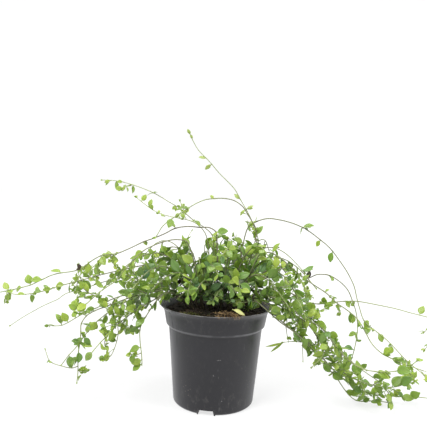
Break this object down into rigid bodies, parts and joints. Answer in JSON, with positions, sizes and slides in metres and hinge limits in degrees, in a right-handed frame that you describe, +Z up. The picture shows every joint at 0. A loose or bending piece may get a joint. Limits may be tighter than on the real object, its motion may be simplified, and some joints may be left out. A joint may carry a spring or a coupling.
{
  "type": "potted lesser periwinkle",
  "caption": "Bedding plant with long leafy runners that arch, hang and trail from a low mound, in a round tapered black nursery pot with a flared lip.",
  "frame": {"origin": "middle of the pot's flat underside, which stands on the ground", "axes": "+Z up along the pot's axis, +X towards the runners that trail to the ground, -Y the front of the pot"},
  "size_m": [0.7405, 0.2736, 0.4106],
  "materials": {
    "pot_plastic": "satin black injection-moulded plastic with light scuffs, soil dust near the foot and a paler line along the collar's step",
    "potting_soil": "moist dark peat-based potting soil with crumbs and fibres",
    "coir_fibre": "tangled brown coir and bark fibre",
    "moss": "thin olive-green moss over dark soil",
    "bark": "rough brown bark chip",
    "yellow_leaf": "pale yellow fallen leaf, slightly waxy",
    "foliage": "glossy evergreen leaves from mid green to bright yellow-green with a paler midrib, matte underside, on thin green to olive-brown stems"
  },
  "bodies": {
    "root": {"nursery_pot": "pot_plastic", "potting_soil": "potting_soil", "coir_tuft": "coir_fibre", "moss_patch": "moss", "bark_chip_a": "bark", "bark_chip_b": "bark", "fallen_leaf": "yellow_leaf", "runner_tall": "foliage", "runner_arch_left": "foliage", "runner_long_left": "foliage", "runner_top_left": "foliage", "runner_mid_left": "foliage", "runner_low_left": "foliage", "runner_back_left": "foliage", "runner_front_left": "foliage", "runner_left_drop_a": "foliage", "runner_left_drop_b": "foliage", "runner_left_drop_c": "foliage", "runner_left_drop_d": "foliage", "runner_right_arch": "foliage", "runner_right_a": "foliage", "runner_right_b": "foliage", "runner_right_c": "foliage", "runner_floor_a": "foliage", "runner_floor_b": "foliage", "runner_floor_c": "foliage", "runner_floor_d": "foliage", "runner_left_drop_e": "foliage", "runner_floor_e": "foliage", "shoot_a": "foliage", "shoot_b": "foliage", "shoot_c": "foliage", "shoot_d": "foliage", "shoot_e": "foliage", "shoot_f": "foliage", "shoot_g": "foliage", "shoot_h": "foliage", "shoot_i": "foliage", "shoot_j": "foliage", "shoot_k": "foliage", "shoot_l": "foliage", "shoot_m": "foliage", "shoot_n": "foliage", "shoot_o": "foliage", "shoot_p": "foliage", "shoot_q": "foliage", "shoot_r": "foliage", "shoot_s": "foliage", "shoot_t": "foliage", "shoot_u": "foliage", "shoot_v": "foliage", "shoot_w": "foliage", "shoot_x": "foliage", "runner_back_a": "foliage", "runner_back_b": "foliage", "runner_back_c": "foliage", "runner_back_d": "foliage", "runner_front_a": "foliage"}
  },
  "joints": []
}
